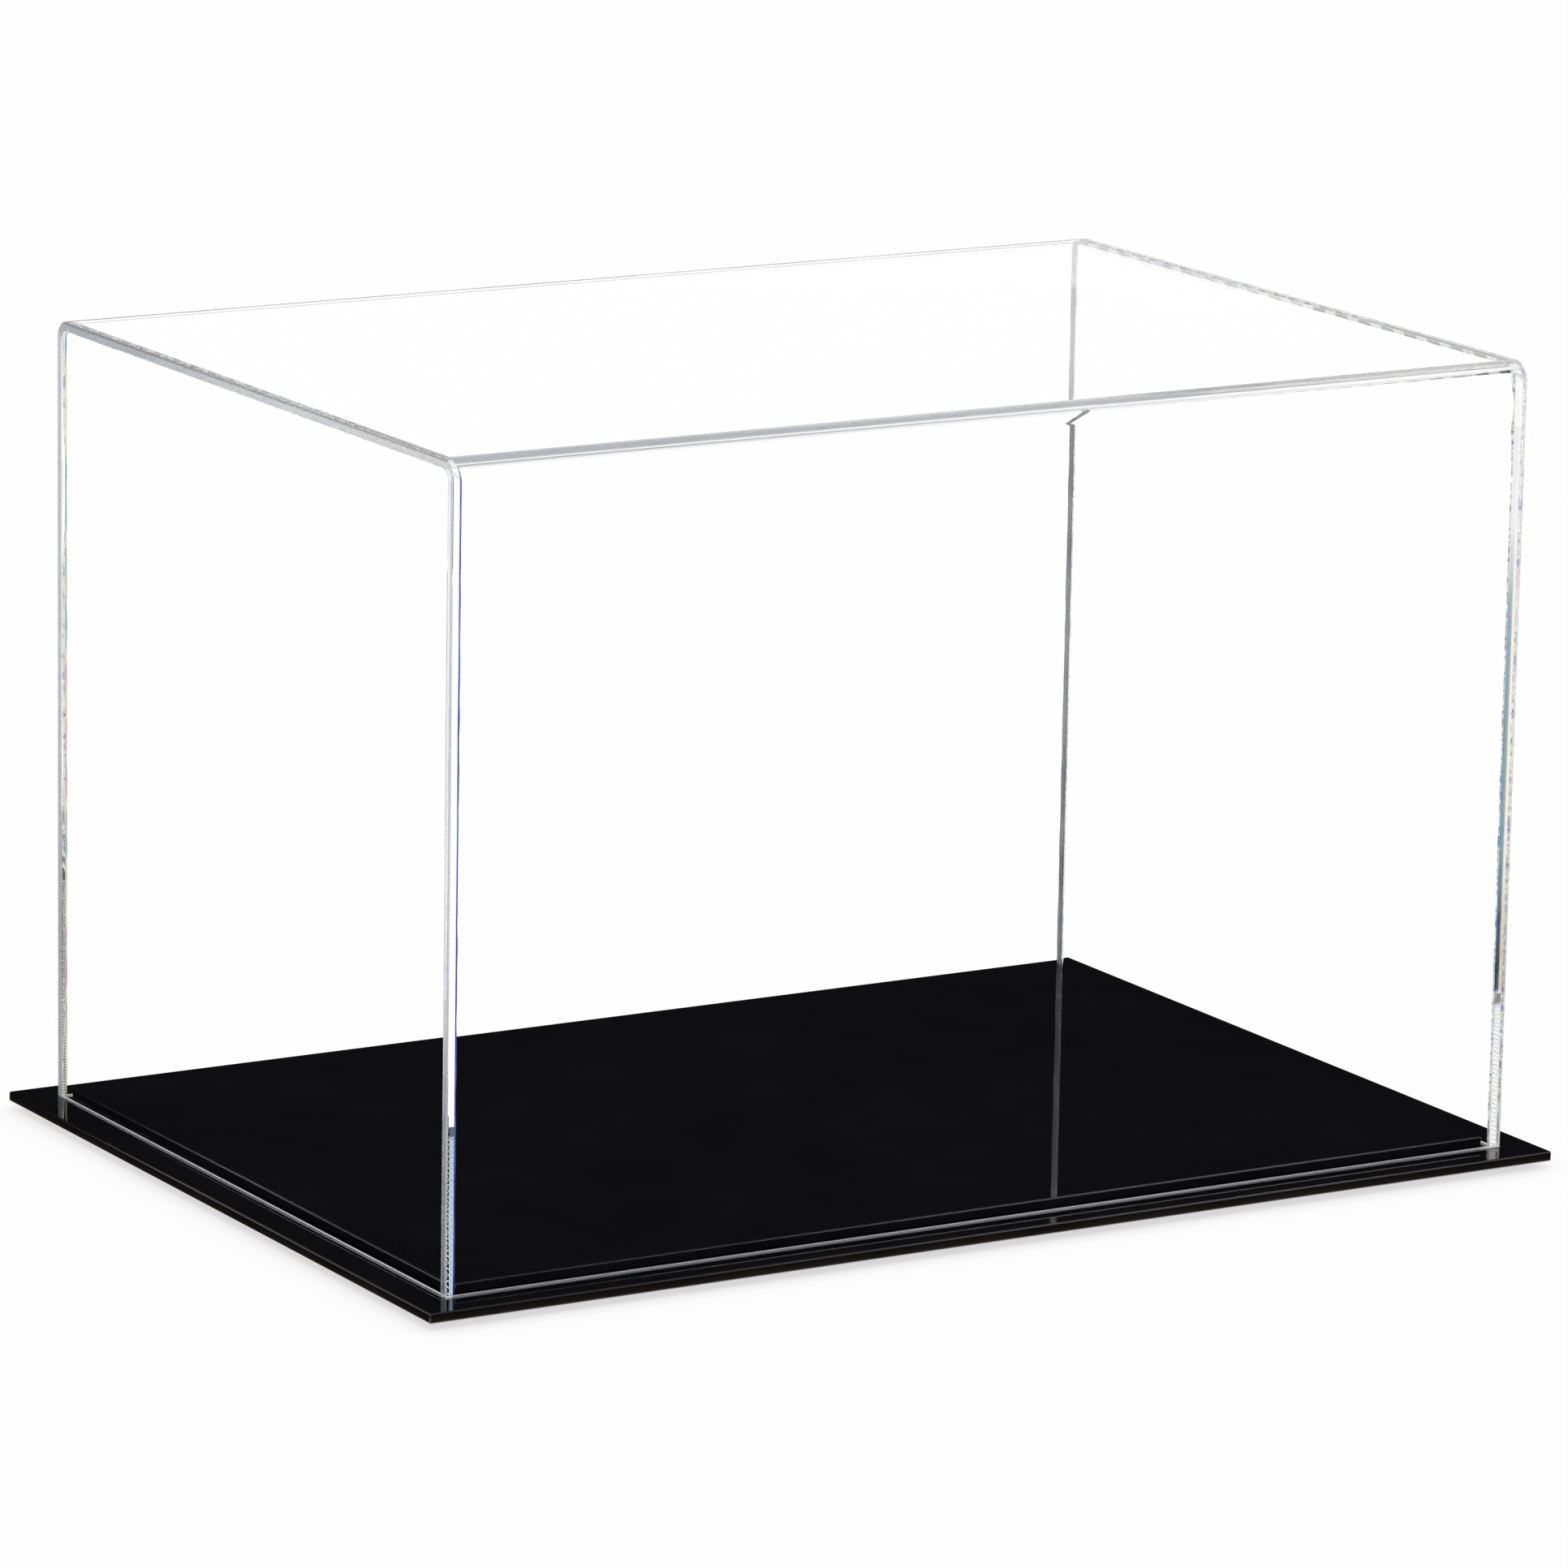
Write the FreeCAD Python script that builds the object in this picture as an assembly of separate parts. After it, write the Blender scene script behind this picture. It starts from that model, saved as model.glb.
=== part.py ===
import FreeCAD, Part
import math
import os

# A clear display cover that lifts off a two-tier black base, in millimetres.
# X runs along the front, Y from front to back and Z up. The origin is under the middle of
# the case, on the surface that it stands on.

# Cover: one clear sheet bent twice into front, top and back, with an end panel welded into each end
COVER_LENGTH = 356.0
COVER_DEPTH = 246.0
COVER_HEIGHT = 237.0
COVER_SHEET = 3.0
BEND_INSIDE_RADIUS = 3.0

# Base: a plate that the cover stands on, and a riser plate that keeps the cover in place
BASE_SHEET = 3.0
BASE_MARGIN = 11.0
RISER_SHEET = 3.0
RISER_CLEARANCE = 1.5
EDGE_EASE = 0.3

# Feet: soft bumpers stuck under the corners of the base plate
FOOT_DIAMETER = 10.0
FOOT_TREAD_DIAMETER = 6.0
FOOT_HEIGHT = 2.5
FOOT_RIM = 0.6
FOOT_INSET = 20.0

# Heights that the pieces share
base_bottom = FOOT_HEIGHT
base_top = base_bottom + BASE_SHEET

# Outlines that the pieces share
base_length = COVER_LENGTH + 2 * BASE_MARGIN
base_depth = COVER_DEPTH + 2 * BASE_MARGIN
inside_length = COVER_LENGTH - 2 * COVER_SHEET
inside_depth = COVER_DEPTH - 2 * COVER_SHEET
inside_height = COVER_HEIGHT - COVER_SHEET


def eased_plate(length, depth, thickness, bottom):
    """A flat plate centred on Z, with the sharp rims of its top and bottom faces eased."""
    corner = FreeCAD.Vector(-length / 2, -depth / 2, bottom)
    plate = Part.makeBox(length, depth, thickness, corner)
    rims = [edge for edge in plate.Edges if abs(edge.tangentAt(edge.FirstParameter).z) < 0.5]
    return plate.makeChamfer(EDGE_EASE, rims)


def arch_face(depth, height, corner_radius, x):
    """An upright rectangle in the plane at x, standing on the base plate, with its two upper corners rounded."""
    side = depth / 2
    top = base_top + height
    shoulder = top - corner_radius
    flat = side - corner_radius
    diagonal = corner_radius * math.sqrt(0.5)

    def point(y, z):
        return FreeCAD.Vector(x, y, z)

    front_bend = Part.Arc(
        point(-side, shoulder), point(-flat - diagonal, shoulder + diagonal), point(-flat, top)
    )
    back_bend = Part.Arc(
        point(flat, top), point(flat + diagonal, shoulder + diagonal), point(side, shoulder)
    )
    outline = [
        Part.LineSegment(point(-side, base_top), point(-side, shoulder)),
        front_bend,
        Part.LineSegment(point(-flat, top), point(flat, top)),
        back_bend,
        Part.LineSegment(point(side, shoulder), point(side, base_top)),
        Part.LineSegment(point(side, base_top), point(-side, base_top)),
    ]
    return Part.Face(Part.Wire([curve.toShape() for curve in outline]))


def bent_cover_sheet():
    """Front, top and back in one sheet: the outer arch less the hollow under it, which runs out at both ends."""
    left = -COVER_LENGTH / 2
    along = FreeCAD.Vector(COVER_LENGTH, 0, 0)
    outside = arch_face(COVER_DEPTH, COVER_HEIGHT, BEND_INSIDE_RADIUS + COVER_SHEET, left)
    hollow = arch_face(inside_depth, inside_height, BEND_INSIDE_RADIUS, left)
    return outside.extrude(along).cut(hollow.extrude(along))


def end_panel(left_face):
    """A flat panel that fills the arch at one end, seated against the front, the bends, the top and the back."""
    panel = arch_face(inside_depth, inside_height, BEND_INSIDE_RADIUS, left_face)
    return panel.extrude(FreeCAD.Vector(COVER_SHEET, 0, 0))


def foot(x, y):
    """A bumper turned about its own axis: a flat tread, a rounded side and a short straight rim at the plate."""
    radius = FOOT_DIAMETER / 2
    tread = FOOT_TREAD_DIAMETER / 2
    rim_height = FOOT_HEIGHT - FOOT_RIM
    overhang = radius - tread
    side_radius = (overhang**2 + rim_height**2) / (2 * overhang)
    half_turn = math.atan2(rim_height, side_radius - overhang) / 2
    middle_x = radius - side_radius + side_radius * math.cos(half_turn)
    middle_z = rim_height - side_radius * math.sin(half_turn)

    def point(across, z):
        return FreeCAD.Vector(x + across, y, z)

    rounded_side = Part.Arc(point(tread, 0), point(middle_x, middle_z), point(radius, rim_height))
    outline = [
        Part.LineSegment(point(0, 0), point(tread, 0)),
        rounded_side,
        Part.LineSegment(point(radius, rim_height), point(radius, FOOT_HEIGHT)),
        Part.LineSegment(point(radius, FOOT_HEIGHT), point(0, FOOT_HEIGHT)),
        Part.LineSegment(point(0, FOOT_HEIGHT), point(0, 0)),
    ]
    profile = Part.Face(Part.Wire([curve.toShape() for curve in outline]))
    return profile.revolve(FreeCAD.Vector(x, y, 0), FreeCAD.Vector(0, 0, 1), 360)


pieces = {
    "base_plate": eased_plate(base_length, base_depth, BASE_SHEET, base_bottom),
    "riser_plate": eased_plate(
        inside_length - 2 * RISER_CLEARANCE,
        inside_depth - 2 * RISER_CLEARANCE,
        RISER_SHEET,
        base_top,
    ),
    "bent_cover_sheet": bent_cover_sheet(),
    "left_end_panel": end_panel(-COVER_LENGTH / 2),
    "right_end_panel": end_panel(COVER_LENGTH / 2 - COVER_SHEET),
}

foot_x = base_length / 2 - FOOT_INSET
foot_y = base_depth / 2 - FOOT_INSET
for row, y in (("front", -foot_y), ("back", foot_y)):
    for side, x in (("left", -foot_x), ("right", foot_x)):
        pieces[f"foot_{row}_{side}"] = foot(x, y)

os.makedirs("parts", exist_ok=True)
for name, shape in pieces.items():
    shape.exportStep(f"parts/{name}.step")
    print(name, "valid" if shape.isValid() else "INVALID", len(shape.Solids), round(shape.Volume, 1))
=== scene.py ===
import math

import bmesh
import bpy
from mathutils import Euler, Matrix, Vector, noise

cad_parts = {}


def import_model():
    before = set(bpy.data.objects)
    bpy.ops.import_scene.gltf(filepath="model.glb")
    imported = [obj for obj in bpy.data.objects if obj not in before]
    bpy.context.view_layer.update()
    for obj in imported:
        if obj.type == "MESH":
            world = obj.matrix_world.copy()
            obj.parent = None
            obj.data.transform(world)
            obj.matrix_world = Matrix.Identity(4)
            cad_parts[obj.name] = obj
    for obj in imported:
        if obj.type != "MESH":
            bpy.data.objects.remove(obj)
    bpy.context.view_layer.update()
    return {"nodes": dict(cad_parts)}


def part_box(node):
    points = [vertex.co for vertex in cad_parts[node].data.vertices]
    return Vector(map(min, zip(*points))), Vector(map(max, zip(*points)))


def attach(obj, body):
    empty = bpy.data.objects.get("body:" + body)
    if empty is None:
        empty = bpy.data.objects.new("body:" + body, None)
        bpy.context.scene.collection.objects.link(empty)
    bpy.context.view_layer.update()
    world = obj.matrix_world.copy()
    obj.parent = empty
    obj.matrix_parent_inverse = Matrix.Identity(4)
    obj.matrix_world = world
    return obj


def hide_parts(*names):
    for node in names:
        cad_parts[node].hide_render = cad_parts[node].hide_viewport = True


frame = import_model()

# A clear acrylic cover that lifts off a two-tier black acrylic base, in metres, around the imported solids.

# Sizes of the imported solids
COVER_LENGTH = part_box("bent_cover_sheet")[1].x * 2
COVER_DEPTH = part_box("bent_cover_sheet")[1].y * 2
COVER_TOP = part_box("bent_cover_sheet")[1].z
BASE_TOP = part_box("riser_plate")[1].z

# Sizes of the cover that its boxes don't give
BEND_INSIDE_RADIUS = 0.003
BEND_STEPS = 40
CUT_EDGE_EASE = 0.00025
END_EDGE_EASE = 0.00025
FAR_EDGE_EASE = 0.0005
RIM_EDGE_EASE = 0.00015
EASE_SEGMENTS = 2

# Width of the narrow strips on the flats beside the bends, which keep the shading of the flats even
FLAT_GUARD = 0.0004

# How much of the front bend and of the back bend is hazy, from the top panel down
HAZY_SHARE = 0.58
BACK_HAZY_SHARE = 0.2

# Air under the cover's foot, which lets the foot mirror the light inside the sheet
FOOT_GAP = 0.00006

# Heat ripple along the two bends, different on the outside and on the inside of the sheet
RIPPLE_HEIGHT = 0.00005
RIPPLE_LENGTH = 0.014
RIPPLE_TURNS_ACROSS = 40
RIPPLE_FADE = 0.012
STATION_PITCH = 0.0025
OUTSIDE_SEED = 0.0
INSIDE_SEED = 7.0

# Cement beads in the inner corners between the end panels and the bent sheet; the legs are those in front,
# under the top and at the back
LEFT_BEAD_LEGS = (0.0005, 0.0002, 0.0005)
RIGHT_BEAD_LEGS = (0.0005, 0.0010, 0.0011)
BEAD_LEG_DRIFT = 0.0002
BEAD_DRIFT_BY_END = 90
BEAD_DRIFT_ALONG = 150
BEAD_HOLLOW = 0.35
BEAD_GAP = 0.00003
BEAD_STEP = 0.002

# The right bead is ragged near the top of its front run
RAGGED_LEG = 0.0012
RAGGED_LENGTH = 0.03
RAGGED_LIFT = 0.6

# Base plates
PLATE_EDGE_EASE = 0.0004
PLATE_EASE_SEGMENTS = 1
PLATE_SHARP_ANGLE = math.radians(40)

# Shading and edges of every piece: faces that meet at more than the sharp angle are shaded apart
SHARP_ANGLE = math.radians(20)
SQUARE_ANGLE = math.radians(60)
FLAT_FACE_WEIGHT = 100
ROUND_PROFILE = 0.5

# Order of the material slots on the clear pieces, on the beads and on the plates
FACE_SLOT, CUT_SLOT, BOND_SLOT, BEND_SLOT, FAR_CUT_SLOT, FILM_SLOT = range(6)
FRONT_CEMENT, BACK_CEMENT, TOP_CEMENT = range(3)
PLATE_FACE_SLOT, PLATE_SIDE_SLOT = range(2)

WHITE = (1, 1, 1, 1)

# How the materials bend light, and how clear and glossy they are
ACRYLIC_IOR = 1.49
CEMENT_IOR = 1.45
RUBBER_IOR = 1.45
CUT_CLEARNESS = 0.94
FAR_CUT_CLEARNESS = 0.7
CEMENT_CLEARNESS = 0.5
RUBBER_CLEARNESS = 0.7
CLEAR_GLOSS = 0.03
BLACK_FACE_GLOSS = 0.5
BLACK_EDGE_GLOSS = 0.0

# Tints of lamp light that passes through the clear faces, the cut edges, and the bends and cement
CLEAR_PASS = (0.988, 0.99, 0.992)
CUT_PASS = (0.95, 0.955, 0.96)
HAZY_PASS = (0.97, 0.975, 0.98)

# The clear faces mirror only light that glances along them, outside or inside the sheet, as a share of
# the way from straight on to edge on
OUTSIDE_GLANCE = 0.72
INSIDE_GLANCE = 0.25

# Fineness of the noise in each surface, in turns per metre, and its scale on each axis of the bends
CLEAR_SMUDGE = 18
CLEAR_WAVE = 22
CUT_DRIFT = 40
SAW_MARKS = 700
FAR_SAW_MARKS = 500
FAR_DASHES = 260
BEND_HAZE = 60
BEND_HAZE_STRETCH = (1, 4, 4)
CEMENT_GRAIN = 900
BLACK_GRAIN = 40
BLACK_SMUDGE = 14
RUBBER_GRAIN = 400

# Heights of the fine relief in the clear faces and in the cut edges
CLEAR_WAVE_HEIGHT = 0.00003
SAW_MARK_HEIGHT = 0.00002
FAR_DASH_HEIGHT = 0.0010

# Roughness of each surface by its noise
CLEAR_ROUGHNESS = [(0.55, 0.0), (0.8, 0.03)]
CUT_ROUGHNESS = [(0.3, 0.26), (0.7, 0.48)]
FAR_CUT_ROUGHNESS = [(0.3, 0.02), (0.7, 0.10)]
BEND_ROUGHNESS = [(0.3, 0.12), (0.7, 0.2)]
CEMENT_ROUGHNESS = [(0.3, 0.08), (0.7, 0.3)]
BLACK_FACE_ROUGHNESS = [(0.4, 0.015), (0.75, 0.05)]
BLACK_EDGE_ROUGHNESS = [(0.4, 0.12), (0.75, 0.3)]
RUBBER_ROUGHNESS = [(0.3, 0.25), (0.7, 0.4)]

# Tones of the black acrylic by height, as a share of the base's height, with a faint grain on them; on the
# sawn sides the tones are painted floor light, brighter and warmer low down
FACE_TONES = [(0.0, (0.0032, 0.0032, 0.0042)), (1.0, (0.0034, 0.0034, 0.0050))]
EDGE_TONES_WITH_PAINTED_FLOOR_LIGHT = [
    (0.29, (0.036, 0.029, 0.021)),
    (0.36, (0.013, 0.011, 0.008)),
    (0.56, (0.005, 0.0047, 0.004)),
    (0.66, (0.0055, 0.0055, 0.0068)),
]
GRAIN_TONES = [(0.35, 0.75), (0.7, 1.2)]

# Tones of the bumper feet
RUBBER_TONES = [(0.3, (0.74, 0.76, 0.76)), (0.7, (0.86, 0.88, 0.88))]

# Painted reflection tints of the bends from left to right, and painted shade on their lowest part, a dark
# line, by height over the haze's depth
BEND_PAINTED_LIGHT_TINTS = [(0.0, (0.74, 0.76, 0.88)), (0.55, (0.80, 0.82, 0.90)), (0.8, (1.0, 0.98, 0.95))]
HAZE_DEPTH = 0.0023
UPPER_HAZE = [(0.50, 0.0), (0.68, 1.0)]
LOWER_BEND_PAINTED_LIGHT_TINTS = [(0.05, (0.50, 0.50, 0.52)), (0.14, (0.97, 0.97, 0.98))]

# Painted light tints of the cut edges at the left end from front to back, pale in front and dark and blue
# at the back, with some noise, and a painted dark line on top
EDGE_PAINTED_LIGHT_TINTS = [
    (0.20, (0.93, 0.92, 0.90)),
    (0.40, (0.86, 0.87, 0.88)),
    (0.62, (0.70, 0.74, 0.79)),
    (0.82, (0.40, 0.47, 0.56)),
]
EDGE_DRIFT = 0.3
TOP_LINE = 0.0011
TOP_LINE_PAINTED_SHADE_TONES = [(0.0, 1.0), (0.25, (0.34, 0.32, 0.31))]

# Painted rainbow tints of split light on the cut edges at the right end
FAR_EDGE_PAINTED_LIGHT_TINTS = [
    (0.36, (0.30, 0.36, 0.62)),
    (0.43, (1.0, 0.99, 0.97)),
    (0.49, (0.40, 0.44, 0.44)),
    (0.54, (1.0, 0.90, 0.74)),
    (0.60, (0.52, 0.72, 0.58)),
    (0.67, (0.90, 0.70, 0.80)),
]

# Painted light on the cement beads, rainbow and dark tints of split light, and how far apart they come
# along a bead
LEFT_TINT_PITCH = 0.03
RIGHT_TINT_PITCH = 0.006
BACK_RIGHT_TINT_PITCH = 0.02
LEFT_BEAD_PAINTED_LIGHT_TINTS = [(0.30, (0.02, 0.03, 0.34)), (0.50, (0.05, 0.10, 0.45)), (0.70, (0.20, 0.36, 0.55))]
RIGHT_BEAD_PAINTED_LIGHT_TINTS = [
    (0.36, (0.10, 0.20, 0.62)),
    (0.43, (0.95, 0.96, 0.97)),
    (0.49, (0.20, 0.23, 0.27)),
    (0.55, (0.94, 0.86, 0.66)),
    (0.61, (0.36, 0.44, 0.46)),
    (0.67, (0.96, 0.92, 0.94)),
]
BACK_LEFT_BEAD_PAINTED_LIGHT_TINTS = [
    (0.34, (0.20, 0.26, 0.60)),
    (0.42, (0.30, 0.62, 0.34)),
    (0.50, (0.88, 0.78, 0.36)),
    (0.58, (0.80, 0.38, 0.34)),
    (0.66, (0.50, 0.44, 0.68)),
]
BACK_RIGHT_BEAD_PAINTED_LIGHT_TINTS = [(0.35, (0.24, 0.245, 0.26)), (0.65, (0.36, 0.365, 0.38))]

# Dark dashes under the right end of the top, at an even pitch from corner to corner
DASH_PITCH = 0.01215
DASH_TONES = [(0.0, 0.02), (0.15, 1.0)]

# Painted rainbow tints of split light in the cement film of the right front joint, from the inner face of
# the end panel outwards, with the deep ones low down; the shares go by height, as a share of the cover's
# height
FILM_PAINTED_LIGHT_TINTS = [
    (0.42, (0.36, 0.55, 0.66)),
    (0.52, (0.93, 0.70, 0.28)),
    (0.66, (1.0, 0.99, 0.98)),
]
DEEP_FILM_PAINTED_LIGHT_TINTS = [
    (0.44, (0.10, 0.19, 0.32)),
    (0.54, (0.92, 0.66, 0.20)),
    (0.70, (0.72, 0.72, 0.74)),
]
DEEP_FILM_SHARES = [(0.28, 1.0), (0.42, 0.0)]
FILM_SHARES = [(0.215, 0.0), (0.222, 1.0), (0.68, 0.9), (0.80, 0.08)]

# The floor's tone and size, and how much of it is seen as white paper without shade
FLOOR_TONE = (0.99, 0.99, 0.99, 1)
PAPER_SHARE = 0.65
FLOOR_SIZE = 40
FLOOR_CELLS = 8

# A pale ring high round the case, which its top mirrors; from as low as the camera stands, the black base
# mirrors what is under the ring
RING_RADIUS = 0.55
RING_LOW = 0.285
RING_HIGH = 0.90
RING_SEGMENTS = 64

# Light counts as guided along the sheets after more mirrorings than this
GUIDED_BOUNCES = 3.5

# A pale card behind the right end, seen only by guided light
CARD_TONE = (0.92, 0.92, 0.93, 1)
CARD_BEHIND = 0.25
CARD_SIDES = (0.04, 0.32)
CARD_LOW = 0.02
CARD_HIGH = 0.16

# A pale cold window low behind the case on the left, seen only by guided light
WINDOW_DIRECTION = Vector((-0.46, 0.85, 0.25)).normalized()
WINDOW_TONE = (0.46, 0.60, 0.74, 1)
WINDOW_EDGE = [(0.90, 0.0), (0.96, 1.0)]

# The world's tone for matt surfaces, and its tones by height in gloss and through the clear pieces
DOME_TONE = (0.8, 0.8, 0.8, 1)
STUDIO_TONES = [
    (0.03, 1.0),
    (0.10, 0.006),
    (0.36, 0.012),
    (0.60, (0.38, 0.39, 0.40)),
    (1.00, (0.48, 0.49, 0.50)),
]

# The sun lamp
KEY_STRENGTH = 0.9
KEY_SPREAD = math.radians(35)
KEY_TILT = Euler((math.radians(38), math.radians(-24), 0))

# Light inside the sheets is mirrored many times
LIGHT_BOUNCES = 200

# Where the photograph was taken from, and through which lens
CAMERA_PLACE = Vector((-1.32757, -2.24264, 0.70636))
CAMERA_HEADING = math.radians(30.644)
CAMERA_DOWN = math.radians(12.910)
CAMERA_ROLL = math.radians(1.006)
CAMERA_LENS = 206.97
CAMERA_SENSOR = 36.0


# Material helpers

def new_material(name):
    """A material with an empty node tree and an output."""
    material = bpy.data.materials.new(name)
    material.use_nodes = True
    nodes = material.node_tree.nodes
    nodes.clear()
    output = nodes.new("ShaderNodeOutputMaterial")
    return material, nodes, material.node_tree.links, output


def principled(nodes, **values):
    """A Principled shader with these sockets set, named with underscores for spaces."""
    shader = nodes.new("ShaderNodeBsdfPrincipled")
    for name, value in values.items():
        shader.inputs[name.replace("_", " ")].default_value = value
    return shader


def object_noise(nodes, links, scale, detail, stretch=(1, 1, 1)):
    """Noise that is fixed to the object, with stretch as a scale for each axis."""
    place = nodes.new("ShaderNodeTexCoord")
    mapping = nodes.new("ShaderNodeMapping")
    mapping.inputs["Scale"].default_value = stretch
    texture = nodes.new("ShaderNodeTexNoise")
    texture.inputs["Scale"].default_value = scale
    texture.inputs["Detail"].default_value = detail
    links.new(place.outputs["Object"], mapping.inputs["Vector"])
    links.new(mapping.outputs["Vector"], texture.inputs["Vector"])
    return texture.outputs["Fac"]


def ramp(nodes, links, factor, stops):
    """A colour ramp with (position, grey or colour) stops."""
    node = nodes.new("ShaderNodeValToRGB")
    elements = node.color_ramp.elements
    while len(elements) < len(stops):
        elements.new(0.5)
    for element, (position, colour) in zip(elements, stops):
        element.position = position
        grey = isinstance(colour, (int, float))
        element.color = (colour, colour, colour, 1) if grey else (*colour, 1)
    links.new(factor, node.inputs["Fac"])
    return node.outputs["Color"]


def bump(nodes, links, height, distance):
    """A relief of this distance from its lowest to its highest place."""
    node = nodes.new("ShaderNodeBump")
    node.inputs["Strength"].default_value = 1.0
    node.inputs["Distance"].default_value = distance
    links.new(height, node.inputs["Height"])
    return node.outputs["Normal"]


def combined(nodes, links, operation, first, second):
    """The result of a Math node on two values."""
    node = nodes.new("ShaderNodeMath")
    node.operation = operation
    links.new(first, node.inputs[0])
    links.new(second, node.inputs[1])
    return node.outputs[0]


def scaled(nodes, links, value, slope, offset):
    """The value times the slope, plus the offset."""
    node = nodes.new("ShaderNodeMath")
    node.operation = "MULTIPLY_ADD"
    node.inputs[1].default_value = slope
    node.inputs[2].default_value = offset
    links.new(value, node.inputs[0])
    return node.outputs[0]


def along(nodes, links, axis, start, length):
    """Place along the object's X, Y or Z axis, from 0 to 1 over this length from the start."""
    place = nodes.new("ShaderNodeTexCoord")
    axes = nodes.new("ShaderNodeSeparateXYZ")
    links.new(place.outputs["Object"], axes.inputs["Vector"])
    return scaled(nodes, links, axes.outputs[axis], 1 / length, -start / length)


def multiplied(nodes, links, first, second):
    """The product of two colours."""
    mix = nodes.new("ShaderNodeMixRGB")
    mix.blend_type = "MULTIPLY"
    mix.inputs["Fac"].default_value = 1.0
    links.new(first, mix.inputs["Color1"])
    links.new(second, mix.inputs["Color2"])
    return mix.outputs["Color"]


def blended(nodes, links, share, first, second):
    """The first colour with this share of the second; each is a socket or a plain colour."""
    mix = nodes.new("ShaderNodeMixRGB")
    links.new(share, mix.inputs["Fac"])
    for socket, colour in ((mix.inputs["Color1"], first), (mix.inputs["Color2"], second)):
        if isinstance(colour, tuple):
            socket.default_value = colour
        else:
            links.new(colour, socket)
    return mix.outputs["Color"]


def mixed(nodes, links, share, first, second):
    """The first shader with this share of the second."""
    mix = nodes.new("ShaderNodeMixShader")
    links.new(share, mix.inputs["Fac"])
    links.new(first, mix.inputs[1])
    links.new(second, mix.inputs[2])
    return mix.outputs["Shader"]


def lamps_pass(nodes, links, shader, output, tint):
    """Shows the shader, but lets lamp light through with this tint."""
    path = nodes.new("ShaderNodeLightPath")
    clear = nodes.new("ShaderNodeBsdfTransparent")
    clear.inputs["Color"].default_value = (*tint, 1)
    shown = mixed(nodes, links, path.outputs["Is Shadow Ray"], shader, clear.outputs["BSDF"])
    links.new(shown, output.inputs["Surface"])


def glancing(nodes, links):
    """One for light that glances along a face, from outside or inside the sheet, otherwise zero."""
    weight = nodes.new("ShaderNodeLayerWeight")
    side = nodes.new("ShaderNodeNewGeometry")
    inside = side.outputs["Backfacing"]
    limit = scaled(nodes, links, inside, INSIDE_GLANCE - OUTSIDE_GLANCE, OUTSIDE_GLANCE)
    return combined(nodes, links, "GREATER_THAN", weight.outputs["Facing"], limit)


def guided_light(nodes, links):
    """One for light that a sheet mirrored along itself many times, otherwise zero."""
    path = nodes.new("ShaderNodeLightPath")
    guided = nodes.new("ShaderNodeMath")
    guided.operation = "GREATER_THAN"
    guided.inputs[1].default_value = GUIDED_BOUNCES
    links.new(path.outputs["Glossy Depth"], guided.inputs[0])
    return guided.outputs[0]


# Materials

def clear_acrylic():
    """The sheets' faces, which bend light through and mirror it only where it glances along them."""
    material, nodes, links, output = new_material("clear_acrylic")
    mirror = principled(
        nodes,
        Base_Color=WHITE,
        IOR=ACRYLIC_IOR,
        Transmission_Weight=1.0,
        Specular_IOR_Level=CLEAR_GLOSS,
    )
    smudge = object_noise(nodes, links, CLEAR_SMUDGE, detail=5)
    links.new(ramp(nodes, links, smudge, CLEAR_ROUGHNESS), mirror.inputs["Roughness"])
    wave = object_noise(nodes, links, CLEAR_WAVE, detail=1)
    links.new(bump(nodes, links, wave, CLEAR_WAVE_HEIGHT), mirror.inputs["Normal"])
    through = nodes.new("ShaderNodeBsdfRefraction")
    through.inputs["IOR"].default_value = ACRYLIC_IOR
    through.inputs["Roughness"].default_value = 0.0
    edge_on = glancing(nodes, links)
    shown = mixed(nodes, links, edge_on, through.outputs["BSDF"], mirror.outputs["BSDF"])
    lamps_pass(nodes, links, shown, output, CLEAR_PASS)
    return material


def cut_acrylic():
    """A sawn and scraped edge: half frosted, so it gathers grey light, with painted light tints that drift
    along it and a painted dark line on top.
    """
    material, nodes, links, output = new_material("cut_acrylic_edge")
    shader = principled(nodes, IOR=ACRYLIC_IOR, Transmission_Weight=CUT_CLEARNESS)
    drift = nodes.new("ShaderNodeMix")
    drift.inputs["Factor"].default_value = EDGE_DRIFT
    links.new(along(nodes, links, "Y", -COVER_DEPTH / 2, COVER_DEPTH), drift.inputs["A"])
    links.new(object_noise(nodes, links, CUT_DRIFT, detail=3), drift.inputs["B"])
    tint = ramp(nodes, links, drift.outputs["Result"], EDGE_PAINTED_LIGHT_TINTS)
    near_top = along(nodes, links, "Z", COVER_TOP - TOP_LINE, TOP_LINE)
    painted_top_shade = ramp(nodes, links, near_top, TOP_LINE_PAINTED_SHADE_TONES)
    links.new(multiplied(nodes, links, tint, painted_top_shade), shader.inputs["Base Color"])
    saw = object_noise(nodes, links, SAW_MARKS, detail=3)
    links.new(ramp(nodes, links, saw, CUT_ROUGHNESS), shader.inputs["Roughness"])
    links.new(bump(nodes, links, saw, SAW_MARK_HEIGHT), shader.inputs["Normal"])
    lamps_pass(nodes, links, shader.outputs["BSDF"], output, CUT_PASS)
    return material


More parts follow.
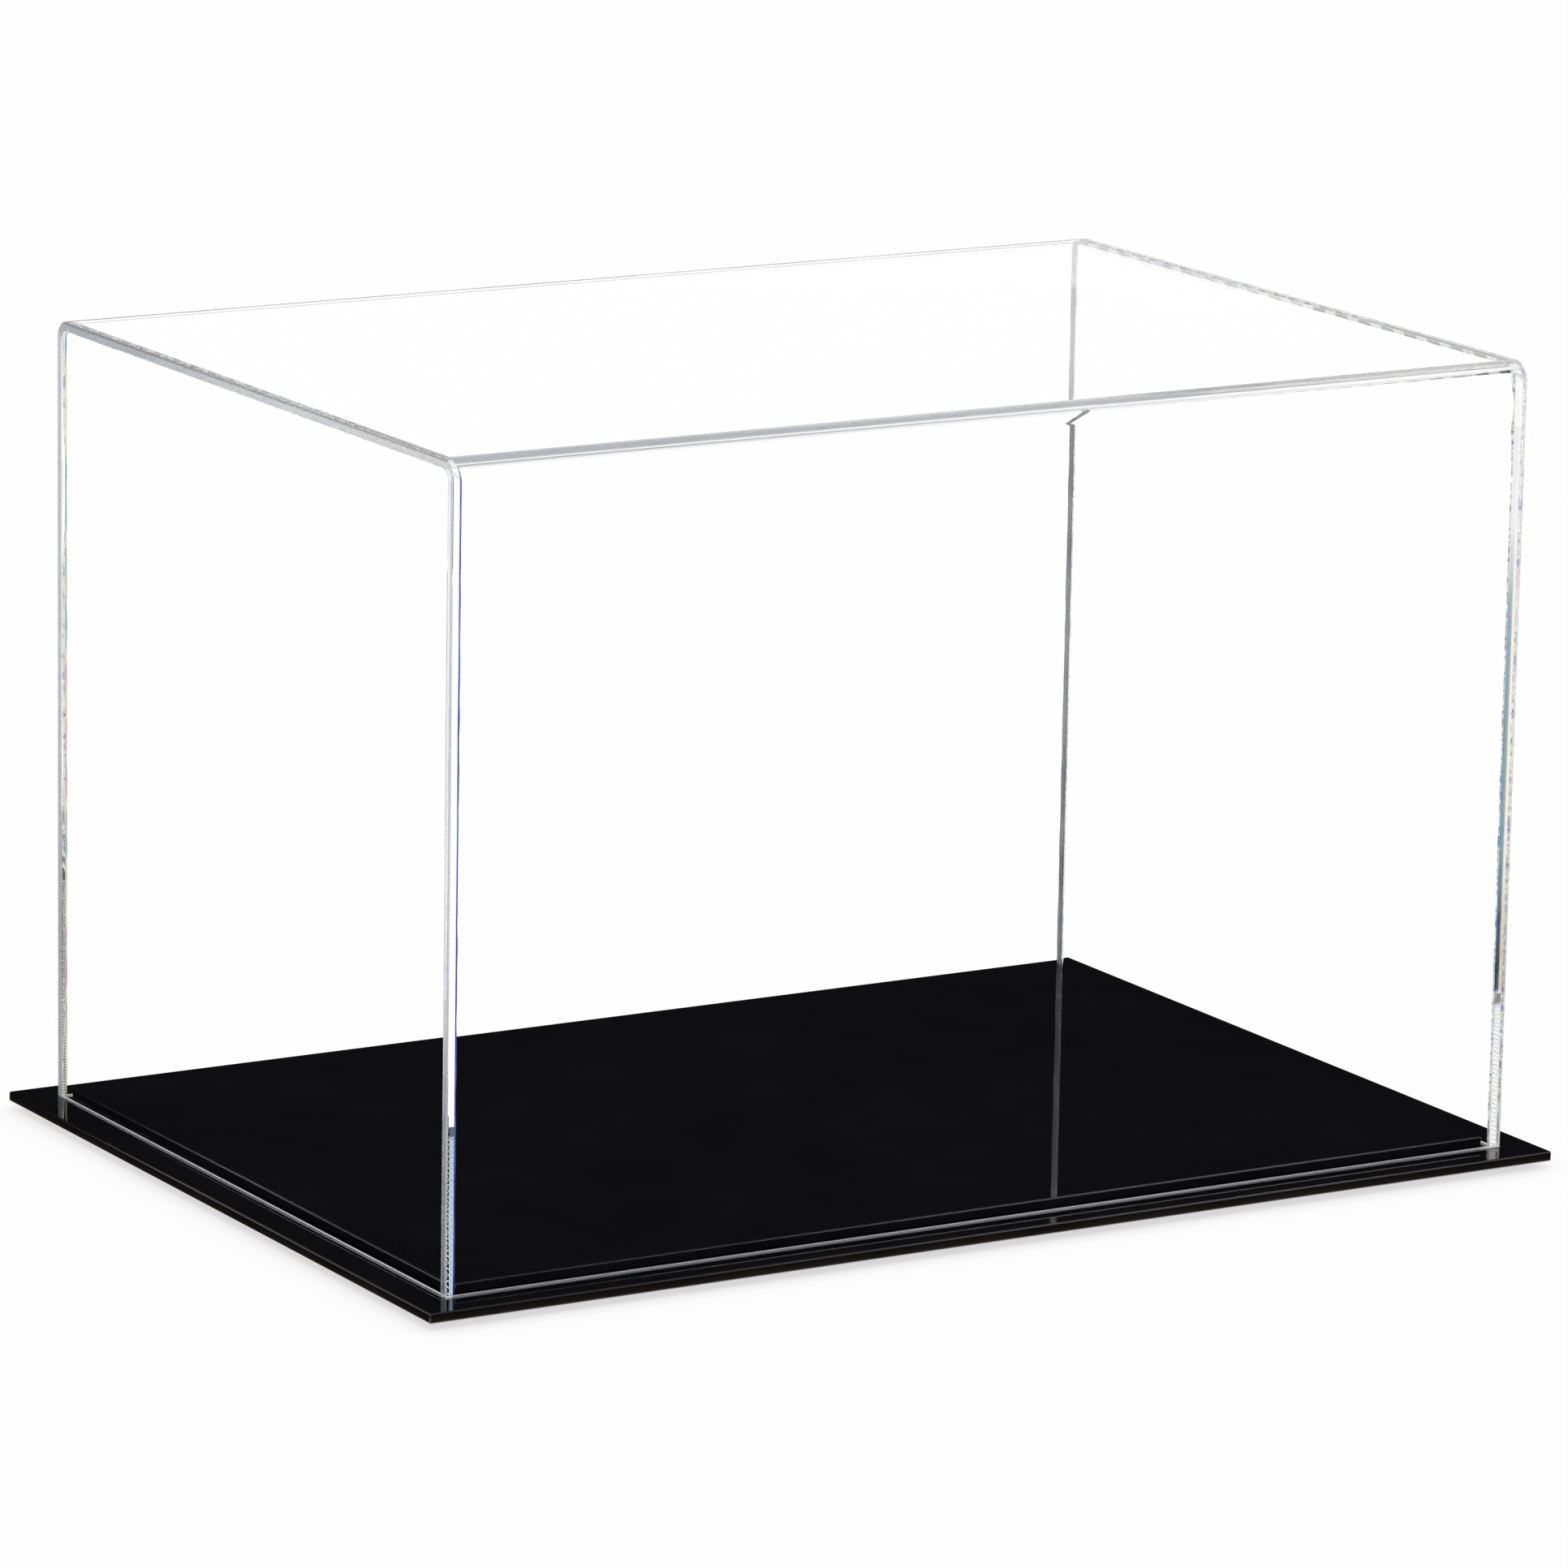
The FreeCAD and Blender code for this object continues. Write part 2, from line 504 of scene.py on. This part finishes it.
def far_cut_acrylic():
    """The cut edges at the right end, polished better, with short pale painted rainbow tints of split
    light.
    """
    material, nodes, links, output = new_material("far_cut_acrylic_edge")
    shader = principled(nodes, IOR=ACRYLIC_IOR, Transmission_Weight=FAR_CUT_CLEARNESS)
    dashes = object_noise(nodes, links, FAR_DASHES, detail=1)
    links.new(ramp(nodes, links, dashes, FAR_EDGE_PAINTED_LIGHT_TINTS), shader.inputs["Base Color"])
    saw = object_noise(nodes, links, FAR_SAW_MARKS, detail=3)
    links.new(ramp(nodes, links, saw, FAR_CUT_ROUGHNESS), shader.inputs["Roughness"])
    links.new(bump(nodes, links, dashes, FAR_DASH_HEIGHT), shader.inputs["Normal"])
    lamps_pass(nodes, links, shader.outputs["BSDF"], output, CUT_PASS)
    return material


def bent_acrylic():
    """The bends went soft in the heat, so their faces are a little hazy; a painted reflection makes them
    bluish at the left end and cream at the right, with a painted dark line low down.
    """
    material, nodes, links, output = new_material("bent_acrylic")
    shader = principled(nodes, IOR=ACRYLIC_IOR, Transmission_Weight=1.0)
    length = along(nodes, links, "X", -COVER_LENGTH / 2, COVER_LENGTH)
    height = along(nodes, links, "Z", COVER_TOP - HAZE_DEPTH, HAZE_DEPTH)
    upper = ramp(nodes, links, length, BEND_PAINTED_LIGHT_TINTS)
    lower = ramp(nodes, links, height, LOWER_BEND_PAINTED_LIGHT_TINTS)
    upper_share = ramp(nodes, links, height, UPPER_HAZE)
    links.new(blended(nodes, links, upper_share, lower, upper), shader.inputs["Base Color"])
    haze = object_noise(nodes, links, BEND_HAZE, detail=3, stretch=BEND_HAZE_STRETCH)
    links.new(ramp(nodes, links, haze, BEND_ROUGHNESS), shader.inputs["Roughness"])
    lamps_pass(nodes, links, shader.outputs["BSDF"], output, HAZY_PASS)
    return material


def cement(name, tint):
    """Solvent cement that crept out of a joint; tint makes its painted colour of split light in the
    material's node tree.
    """
    material, nodes, links, output = new_material(name)
    shader = principled(nodes, IOR=CEMENT_IOR, Transmission_Weight=CEMENT_CLEARNESS)
    links.new(tint(nodes, links), shader.inputs["Base Color"])
    grain = object_noise(nodes, links, CEMENT_GRAIN, detail=2)
    links.new(ramp(nodes, links, grain, CEMENT_ROUGHNESS), shader.inputs["Roughness"])
    lamps_pass(nodes, links, shader.outputs["BSDF"], output, HAZY_PASS)
    return material


def weld_cement(name, pitch, tints):
    """Thin cement, with painted rainbow and dark tints of split light that change at about this pitch."""
    def tint(nodes, links):
        return ramp(nodes, links, object_noise(nodes, links, 1 / pitch, detail=2), tints)

    return cement(name, tint)


def dashed_cement():
    """Cement under the right end of the top, with dark dashes at an even pitch over pale painted rainbow
    tints.
    """
    def tint(nodes, links):
        swing = nodes.new("ShaderNodeMath")
        swing.operation = "COSINE"
        links.new(along(nodes, links, "Y", 0, DASH_PITCH / (2 * math.pi)), swing.inputs[0])
        marks = ramp(nodes, links, swing.outputs[0], DASH_TONES)
        pale = ramp(nodes, links, object_noise(nodes, links, FAR_DASHES, detail=1), FAR_EDGE_PAINTED_LIGHT_TINTS)
        return multiplied(nodes, links, pale, marks)

    return cement("top_right_cement", tint)


def bonded_face():
    """Welded faces have no air between them, so light crosses them unbent."""
    material, nodes, links, output = new_material("bonded_face")
    clear = nodes.new("ShaderNodeBsdfTransparent")
    links.new(clear.outputs["BSDF"], output.inputs["Surface"])
    return material


def cement_film():
    """The right front joint, where a thicker film of cement tints the light that crosses it with painted
    rainbow tints.
    """
    material, nodes, links, output = new_material("cement_film")
    clear = nodes.new("ShaderNodeBsdfTransparent")
    inner_face, outer_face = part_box("right_end_panel")
    across = along(nodes, links, "X", inner_face.x, outer_face.x - inner_face.x)
    height = along(nodes, links, "Z", 0, COVER_TOP)
    plain = ramp(nodes, links, across, FILM_PAINTED_LIGHT_TINTS)
    deep = ramp(nodes, links, across, DEEP_FILM_PAINTED_LIGHT_TINTS)
    tint = blended(nodes, links, ramp(nodes, links, height, DEEP_FILM_SHARES), plain, deep)
    film = blended(nodes, links, ramp(nodes, links, height, FILM_SHARES), WHITE, tint)
    links.new(film, clear.inputs["Color"])
    links.new(clear.outputs["BSDF"], output.inputs["Surface"])
    return material


def black_acrylic(name, gloss, roughness_stops, tone_stops):
    """Black with faint smudges; tone_stops give its tone by height over the floor, which on the sawn sides
    is painted floor light.
    """
    material, nodes, links, output = new_material(name)
    shader = principled(nodes, IOR=ACRYLIC_IOR, Specular_IOR_Level=gloss)
    tone = ramp(nodes, links, along(nodes, links, "Z", 0, BASE_TOP), tone_stops)
    grain = ramp(nodes, links, object_noise(nodes, links, BLACK_GRAIN, detail=4), GRAIN_TONES)
    links.new(multiplied(nodes, links, tone, grain), shader.inputs["Base Color"])
    smudge = object_noise(nodes, links, BLACK_SMUDGE, detail=6)
    links.new(ramp(nodes, links, smudge, roughness_stops), shader.inputs["Roughness"])
    links.new(shader.outputs["BSDF"], output.inputs["Surface"])
    return material


def bumper_rubber():
    """The feet's soft clear rubber."""
    material, nodes, links, output = new_material("clear_bumper")
    shader = principled(nodes, IOR=RUBBER_IOR, Transmission_Weight=RUBBER_CLEARNESS)
    grain = object_noise(nodes, links, RUBBER_GRAIN, detail=3)
    links.new(ramp(nodes, links, grain, RUBBER_TONES), shader.inputs["Base Color"])
    links.new(ramp(nodes, links, grain, RUBBER_ROUGHNESS), shader.inputs["Roughness"])
    links.new(shader.outputs["BSDF"], output.inputs["Surface"])
    return material


# Shape helpers

def mesh_object(bm, name, materials, sharp_angle=SHARP_ANGLE):
    """Turns a bmesh into an object with smooth faces that break at sharp edges."""
    mesh = bpy.data.meshes.new(name)
    bm.to_mesh(mesh)
    bm.free()
    for material in materials:
        mesh.materials.append(material)
    mesh.shade_smooth()
    mesh.set_sharp_from_angle(angle=sharp_angle)
    piece = bpy.data.objects.new(name, mesh)
    flats = piece.modifiers.new("flat_faces_stay_flat", "WEIGHTED_NORMAL")
    flats.keep_sharp = True
    flats.weight = FLAT_FACE_WEIGHT
    bpy.context.scene.collection.objects.link(piece)
    return piece


def square_edges(bm):
    """The edges between faces that meet at about a right angle."""
    return [edge for edge in bm.edges if edge.calc_face_angle(0) > SQUARE_ANGLE]


def ease_edges(bm, edges, width, slot, segments=EASE_SEGMENTS):
    """Rounds these edges, with the new faces in this material slot."""
    bmesh.ops.bevel(
        bm,
        geom=edges,
        offset=width,
        segments=segments,
        profile=ROUND_PROFILE,
        affect="EDGES",
        material=slot,
    )


def arch_points(side, bottom, top, radius):
    """Points of an upside-down U, from its front foot over the top to its back foot."""
    shoulder = top - radius
    flat = side - radius
    points = [(-side, bottom), (-side, shoulder - FLAT_GUARD)]
    for centre_y, start in ((-flat, math.pi), (flat, math.pi / 2)):
        for step in range(BEND_STEPS + 1):
            angle = start - step * math.pi / 2 / BEND_STEPS
            points.append((centre_y + radius * math.cos(angle), shoulder + radius * math.sin(angle)))
        if centre_y < 0:
            points += [(-flat + FLAT_GUARD, top), (flat - FLAT_GUARD, top)]
    points += [(side, shoulder - FLAT_GUARD), (side, bottom)]
    return points


def arch_top(arch):
    return max(z for y, z in arch)


# The clear cover

sheet_low, sheet_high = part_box("bent_cover_sheet")
left_low, left_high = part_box("left_end_panel")
SHEET = left_high.x - left_low.x

FOOT = sheet_low.z + FOOT_GAP

outer_arch = arch_points(sheet_high.y, FOOT, sheet_high.z, BEND_INSIDE_RADIUS + SHEET)
inner_arch = arch_points(sheet_high.y - SHEET, FOOT, sheet_high.z - SHEET, BEND_INSIDE_RADIUS)


def sheet_stations():
    """Places along X where the bent sheet has a section: its ends, and an even pitch between the panels."""
    inside = sheet_high.x - SHEET
    count = round(2 * inside / STATION_PITCH)
    between = [-inside + 2 * inside * step / count for step in range(count + 1)]
    return [sheet_low.x, *between, sheet_high.x]


def ripple(x, y, seed):
    """How far the hot bend rose or sank at this place, with nothing at the welded ends."""
    from_end = (sheet_high.x - SHEET - abs(x)) / RIPPLE_FADE
    fade = max(0.0, min(1.0, from_end))
    return RIPPLE_HEIGHT * fade * noise.noise((x / RIPPLE_LENGTH, RIPPLE_TURNS_ACROSS * y, seed))


def section(bm, arch, x, radius, seed):
    """One row of the sheet's vertices at x, with the ripple on the bends."""
    row = []
    for y, z in arch:
        centre = Vector((0, math.copysign(abs(arch[0][0]) - radius, y), arch_top(arch) - radius))
        point = Vector((x, y, z))
        arm = Vector((0, y - centre.y, z - centre.z))
        on_bend = z > centre.z and abs(y) > abs(centre.y)
        if on_bend:
            turn = math.atan2(arm.z, abs(arm.y))
            point += arm.normalized() * ripple(x, y, seed) * math.sin(2 * turn)
        row.append(bm.verts.new(point))
    return row


def is_hazy(j):
    """Whether the strip after point j of the arch lies near the top of the front bend or of the back bend.

    The arch has two points before the front bend, and two on the top before the back bend.
    """
    front_top = 2 + BEND_STEPS
    back_top = front_top + 3
    in_front = front_top - round(BEND_STEPS * HAZY_SHARE) <= j < front_top
    at_back = back_top <= j < back_top + round(BEND_STEPS * BACK_HAZY_SHARE)
    return in_front or at_back


def at_foot(edge):
    return all(vert.co.z < FOOT + SHEET / 2 for vert in edge.verts)


def bond_slot(x, j):
    """The slot of a welded face after point j of the arch: the right front joint has a film of cement."""
    return FILM_SLOT if x > 0 and j == 0 else BOND_SLOT


def bent_sheet(materials):
    """The front, top and back of the cover, with the faces that are welded to the end panels."""
    bm = bmesh.new()
    stations = sheet_stations()
    outer = [section(bm, outer_arch, x, BEND_INSIDE_RADIUS + SHEET, OUTSIDE_SEED) for x in stations]
    inner = [section(bm, inner_arch, x, BEND_INSIDE_RADIUS, INSIDE_SEED) for x in stations]
    last = len(stations) - 1
    feet = (0, len(outer_arch) - 1)
    for i in range(last):
        bonded = i in (0, last - 1)
        for j in range(feet[1]):
            face = bm.faces.new((outer[i][j], outer[i][j + 1], outer[i + 1][j + 1], outer[i + 1][j]))
            face.material_index = BEND_SLOT if is_hazy(j) else FACE_SLOT
            face = bm.faces.new((inner[i][j], inner[i + 1][j], inner[i + 1][j + 1], inner[i][j + 1]))
            face.material_index = bond_slot(stations[i], j) if bonded else FACE_SLOT
        for j in feet:
            bm.faces.new((outer[i][j], outer[i + 1][j], inner[i + 1][j], inner[i][j]))
    for i, slot in ((0, CUT_SLOT), (last, FAR_CUT_SLOT)):
        for j in range(feet[1]):
            face = bm.faces.new((outer[i][j], outer[i][j + 1], inner[i][j + 1], inner[i][j]))
            face.material_index = slot
    bmesh.ops.recalc_face_normals(bm, faces=bm.faces)
    ease_edges(bm, [edge for edge in square_edges(bm) if at_foot(edge)], CUT_EDGE_EASE, CUT_SLOT)
    for side, width, slot in ((-1, END_EDGE_EASE, FACE_SLOT), (1, FAR_EDGE_EASE, FAR_CUT_SLOT)):
        ends = [edge for edge in square_edges(bm) if not at_foot(edge)]
        ease_edges(bm, [edge for edge in ends if edge.verts[0].co.x * side > 0], width, slot)
    return mesh_object(bm, "bent_cover", materials)


def end_panel(name, outside_x, inside_x, materials):
    """An end of the cover, with the edges of its outside face eased."""
    bm = bmesh.new()
    outside = [bm.verts.new((outside_x, y, z)) for y, z in inner_arch]
    inside = [bm.verts.new((inside_x, y, z)) for y, z in inner_arch]
    last = len(inner_arch) - 1
    for j in range(last):
        face = bm.faces.new((outside[j], outside[j + 1], inside[j + 1], inside[j]))
        face.material_index = bond_slot(outside_x, j)
    bm.faces.new((outside[last], outside[0], inside[0], inside[last]))
    for loop in (outside, inside):
        for j in range(last // 2):
            bm.faces.new((loop[j], loop[j + 1], loop[last - 1 - j], loop[last - j]))
    bmesh.ops.recalc_face_normals(bm, faces=bm.faces)
    ease_edges(bm, [edge for edge in square_edges(bm) if at_foot(edge)], CUT_EDGE_EASE, CUT_SLOT)
    rim = [
        edge for edge in square_edges(bm)
        if all(abs(vert.co.x - outside_x) < SHEET / 2 for vert in edge.verts) and not at_foot(edge)
    ]
    ease_edges(bm, rim, RIM_EDGE_EASE, FACE_SLOT)
    return mesh_object(bm, name, materials)


def bead_path():
    """Points up one inner corner, under the top and down the other, each with the way inward."""
    path = []
    for (y0, z0), (y1, z1) in zip(inner_arch, inner_arch[1:]):
        start = Vector((0, y0, z0))
        step = Vector((0, y1, z1)) - start
        inward = Vector((0, step.z, -step.y)).normalized()
        count = max(1, round(step.length / BEAD_STEP))
        path += [(start + step * k / count, inward) for k in range(count)]
    path.append((start + step, inward))
    return path


def bead_leg(place, legs):
    """The mean width of a bead at this place: it goes from a side's leg to the top's leg over the bend."""
    front, top, back = legs
    side = front if place.y < 0 else back
    rise = 1 - (arch_top(inner_arch) - place.z) / BEND_INSIDE_RADIUS
    return side + (top - side) * max(0.0, rise)


def bead_slot(place):
    """The slot of a bead's faces at this place: under the top, at the back or in front."""
    if place.z > arch_top(inner_arch) - BEAD_GAP:
        return TOP_CEMENT
    if place.y > inner_arch[-1][0] - BEND_INSIDE_RADIUS:
        return BACK_CEMENT
    return FRONT_CEMENT


def weld_bead(name, inside_x, legs, materials):
    """A hollow fillet in the corner between an end panel and the bent sheet, of uneven width."""
    into_case = math.copysign(1, -inside_x)
    bm = bmesh.new()
    rows = []
    path = bead_path()
    for place, inward in path:
        drift = noise.noise((
            inside_x * BEAD_DRIFT_BY_END,
            place.y * BEAD_DRIFT_ALONG,
            place.z * BEAD_DRIFT_ALONG,
        ))
        leg = bead_leg(place, legs) + BEAD_LEG_DRIFT * drift
        if inside_x > 0 and place.y < inner_arch[0][0] + FLAT_GUARD:
            below_top = arch_top(inner_arch) - place.z
            leg += RAGGED_LEG * max(0.0, 1 - below_top / RAGGED_LENGTH) * (RAGGED_LIFT + drift)
        row = []
        for up, out in ((0, 0), (leg, 0), (BEAD_HOLLOW * leg, BEAD_HOLLOW * leg), (0, leg)):
            point = place + inward * (BEAD_GAP + up)
            point.x = inside_x + into_case * (BEAD_GAP + out)
            row.append(bm.verts.new(point))
        rows.append(row)
    for (place, inward), row, after in zip(path, rows, rows[1:]):
        corners = len(row)
        for k in range(corners):
            onward = (k + 1) % corners
            face = bm.faces.new((row[k], row[onward], after[onward], after[k]))
            face.material_index = bead_slot(place)
    for end in (rows[0], rows[-1]):
        bm.faces.new(end)
    bmesh.ops.recalc_face_normals(bm, faces=bm.faces)
    return mesh_object(bm, name, materials)


# The black base

def black_plate(name, node, face_material, edge_material):
    """A plate with finely eased edges, with its sawn sides in a slot of their own."""
    low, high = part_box(node)
    bm = bmesh.new()
    bmesh.ops.create_cube(bm, size=1)
    for vert in bm.verts:
        vert.co = Vector((low[axis] if vert.co[axis] < 0 else high[axis] for axis in range(3)))
    for face in bm.faces:
        lies_flat = abs(face.normal.z) > 0.5
        face.material_index = PLATE_FACE_SLOT if lies_flat else PLATE_SIDE_SLOT
    ease_edges(bm, bm.edges[:], PLATE_EDGE_EASE, PLATE_FACE_SLOT, PLATE_EASE_SEGMENTS)
    return mesh_object(bm, name, [face_material, edge_material], PLATE_SHARP_ANGLE)


# Pieces on their bodies; the clear ones are left out of the light that matt surfaces gather

clear_slots = [
    clear_acrylic(),
    cut_acrylic(),
    bonded_face(),
    bent_acrylic(),
    far_cut_acrylic(),
    cement_film(),
]
right_low, right_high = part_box("right_end_panel")
cover_pieces = {
    "bent_cover_sheet": bent_sheet(clear_slots),
    "left_end_panel": end_panel("left_end", left_low.x, left_high.x, clear_slots),
    "right_end_panel": end_panel("right_end", right_high.x, right_low.x, clear_slots),
}
for node, piece in cover_pieces.items():
    piece.visible_diffuse = False
    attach(piece, "cover")
    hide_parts(node)

left_cements = [
    weld_cement("left_cement", LEFT_TINT_PITCH, LEFT_BEAD_PAINTED_LIGHT_TINTS),
    weld_cement("back_left_cement", LEFT_TINT_PITCH, BACK_LEFT_BEAD_PAINTED_LIGHT_TINTS),
    weld_cement("top_left_cement", LEFT_TINT_PITCH, LEFT_BEAD_PAINTED_LIGHT_TINTS),
]
right_cements = [
    weld_cement("right_cement", RIGHT_TINT_PITCH, RIGHT_BEAD_PAINTED_LIGHT_TINTS),
    weld_cement("back_right_cement", BACK_RIGHT_TINT_PITCH, BACK_RIGHT_BEAD_PAINTED_LIGHT_TINTS),
    dashed_cement(),
]
for name, inside_x, legs, cements in (
    ("left_weld", left_high.x, LEFT_BEAD_LEGS, left_cements),
    ("right_weld", right_low.x, RIGHT_BEAD_LEGS, right_cements),
):
    bead = weld_bead(name, inside_x, legs, cements)
    bead.visible_diffuse = False
    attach(bead, "cover")

black_face = black_acrylic("black_acrylic", BLACK_FACE_GLOSS, BLACK_FACE_ROUGHNESS, FACE_TONES)
# The sawn sides carry painted floor light, brighter low down
black_edge = black_acrylic("black_acrylic_edge", BLACK_EDGE_GLOSS, BLACK_EDGE_ROUGHNESS, EDGE_TONES_WITH_PAINTED_FLOOR_LIGHT)
for node, name in (("base_plate", "base_slab"), ("riser_plate", "riser_slab")):
    plate = black_plate(name, node, black_face, black_edge)
    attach(plate, "base")
    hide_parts(node)

rubber = bumper_rubber()
for name, node in frame["nodes"].items():
    if name.startswith("foot_"):
        for slot in node.material_slots:
            slot.material = rubber


# Stage, light and camera

def floor():
    """A white floor, part paper and part shaded: it keeps the case's soft shadow and mirrors as white."""
    material, nodes, links, output = new_material("pale_floor")
    shaded = nodes.new("ShaderNodeBsdfDiffuse")
    shaded.inputs["Color"].default_value = FLOOR_TONE
    paper = nodes.new("ShaderNodeEmission")
    paper.inputs["Color"].default_value = FLOOR_TONE
    path = nodes.new("ShaderNodeLightPath")
    straight = path.outputs["Is Camera Ray"]
    seen = combined(nodes, links, "MAXIMUM", straight, path.outputs["Is Transmission Ray"])
    part_paper = scaled(nodes, links, seen, PAPER_SHARE, 0.0)
    share = combined(nodes, links, "MAXIMUM", part_paper, path.outputs["Is Glossy Ray"])
    shown = mixed(nodes, links, share, shaded.outputs["BSDF"], paper.outputs["Emission"])
    links.new(shown, output.inputs["Surface"])
    bm = bmesh.new()
    bmesh.ops.create_grid(bm, x_segments=FLOOR_CELLS, y_segments=FLOOR_CELLS, size=FLOOR_SIZE)
    plane = mesh_object(bm, "floor", [material])


def hide_from_view(piece):
    """Hides a piece from the camera and from matt surfaces, and takes away its shadow."""
    piece.visible_camera = False
    piece.visible_diffuse = False
    piece.visible_shadow = False


def halo():
    """A pale ring above the cover's top, so that the top panel mirrors white."""
    material, nodes, links, output = new_material("pale_ring")
    light = nodes.new("ShaderNodeEmission")
    light.inputs["Strength"].default_value = 1.0
    links.new(light.outputs["Emission"], output.inputs["Surface"])
    bm = bmesh.new()
    bmesh.ops.create_cone(
        bm,
        segments=RING_SEGMENTS,
        radius1=RING_RADIUS,
        radius2=RING_RADIUS,
        depth=RING_HIGH - RING_LOW,
        cap_ends=False,
    )
    ring = mesh_object(bm, "ring", [material])
    ring.location.z = (RING_LOW + RING_HIGH) / 2
    hide_from_view(ring)


def card():
    """A pale card behind the right end, seen only by guided light: the corner's foot picks it up."""
    material, nodes, links, output = new_material("pale_card")
    light = nodes.new("ShaderNodeEmission")
    light.inputs["Color"].default_value = CARD_TONE
    clear = nodes.new("ShaderNodeBsdfTransparent")
    guided = guided_light(nodes, links)
    shown = mixed(nodes, links, guided, clear.outputs["BSDF"], light.outputs["Emission"])
    links.new(shown, output.inputs["Surface"])
    bm = bmesh.new()
    left, right = CARD_SIDES
    corners = ((left, CARD_LOW), (right, CARD_LOW), (right, CARD_HIGH), (left, CARD_HIGH))
    bm.faces.new([bm.verts.new((x, CARD_BEHIND, z)) for x, z in corners])
    sheet = mesh_object(bm, "card", [material])
    hide_from_view(sheet)


def with_window(nodes, links, direction, studio):
    """Adds a pale cold window low behind the case on the left, which the foot of the corners picks up."""
    facing = nodes.new("ShaderNodeVectorMath")
    facing.operation = "DOT_PRODUCT"
    facing.inputs[1].default_value = WINDOW_DIRECTION
    links.new(direction, facing.inputs[0])
    inside = ramp(nodes, links, facing.outputs["Value"], WINDOW_EDGE)
    share = combined(nodes, links, "MULTIPLY", inside, guided_light(nodes, links))
    return blended(nodes, links, share, studio, WINDOW_TONE)


def world():
    """White for the camera, an even dome for matt surfaces, and a studio in gloss and through sheets."""
    scene = bpy.context.scene
    scene.world = bpy.data.worlds.new("studio")
    scene.world.use_nodes = True
    nodes = scene.world.node_tree.nodes
    links = scene.world.node_tree.links
    nodes.clear()
    output = nodes.new("ShaderNodeOutputWorld")
    background = nodes.new("ShaderNodeBackground")
    direction = nodes.new("ShaderNodeTexCoord").outputs["Generated"]
    axes = nodes.new("ShaderNodeSeparateXYZ")
    links.new(direction, axes.inputs["Vector"])
    studio = ramp(nodes, links, axes.outputs["Z"], STUDIO_TONES)
    studio = with_window(nodes, links, direction, studio)
    path = nodes.new("ShaderNodeLightPath")
    mirrored = path.outputs["Is Glossy Ray"]
    either = combined(nodes, links, "MAXIMUM", mirrored, path.outputs["Is Transmission Ray"])
    seen = blended(nodes, links, either, DOME_TONE, studio)
    shown = blended(nodes, links, path.outputs["Is Camera Ray"], seen, WHITE)
    links.new(shown, background.inputs["Color"])
    links.new(background.outputs["Background"], output.inputs["Surface"])


def key_light():
    """A soft sun that leaves no highlight of its own."""
    lamp = bpy.data.lights.new("key", "SUN")
    lamp.energy = KEY_STRENGTH
    lamp.angle = KEY_SPREAD
    key = bpy.data.objects.new("key", lamp)
    key.rotation_euler = KEY_TILT
    key.visible_glossy = False
    key.visible_transmission = False
    bpy.context.scene.collection.objects.link(key)


def camera():
    """The photograph's camera."""
    data = bpy.data.cameras.new("camera")
    data.sensor_width = CAMERA_SENSOR
    data.lens = CAMERA_LENS
    viewer = bpy.data.objects.new("camera", data)
    level = Euler((math.pi / 2 - CAMERA_DOWN, 0, -CAMERA_HEADING)).to_matrix()
    turned = level @ Matrix.Rotation(CAMERA_ROLL, 3, "Z")
    viewer.matrix_world = Matrix.Translation(CAMERA_PLACE) @ turned.to_4x4()
    bpy.context.scene.collection.objects.link(viewer)
    bpy.context.scene.camera = viewer


floor()
halo()
card()
world()
key_light()
camera()

scene = bpy.context.scene
scene.view_settings.view_transform = "Standard"
scene.cycles.max_bounces = LIGHT_BOUNCES
scene.cycles.transmission_bounces = LIGHT_BOUNCES
scene.cycles.glossy_bounces = LIGHT_BOUNCES
scene.cycles.transparent_max_bounces = LIGHT_BOUNCES
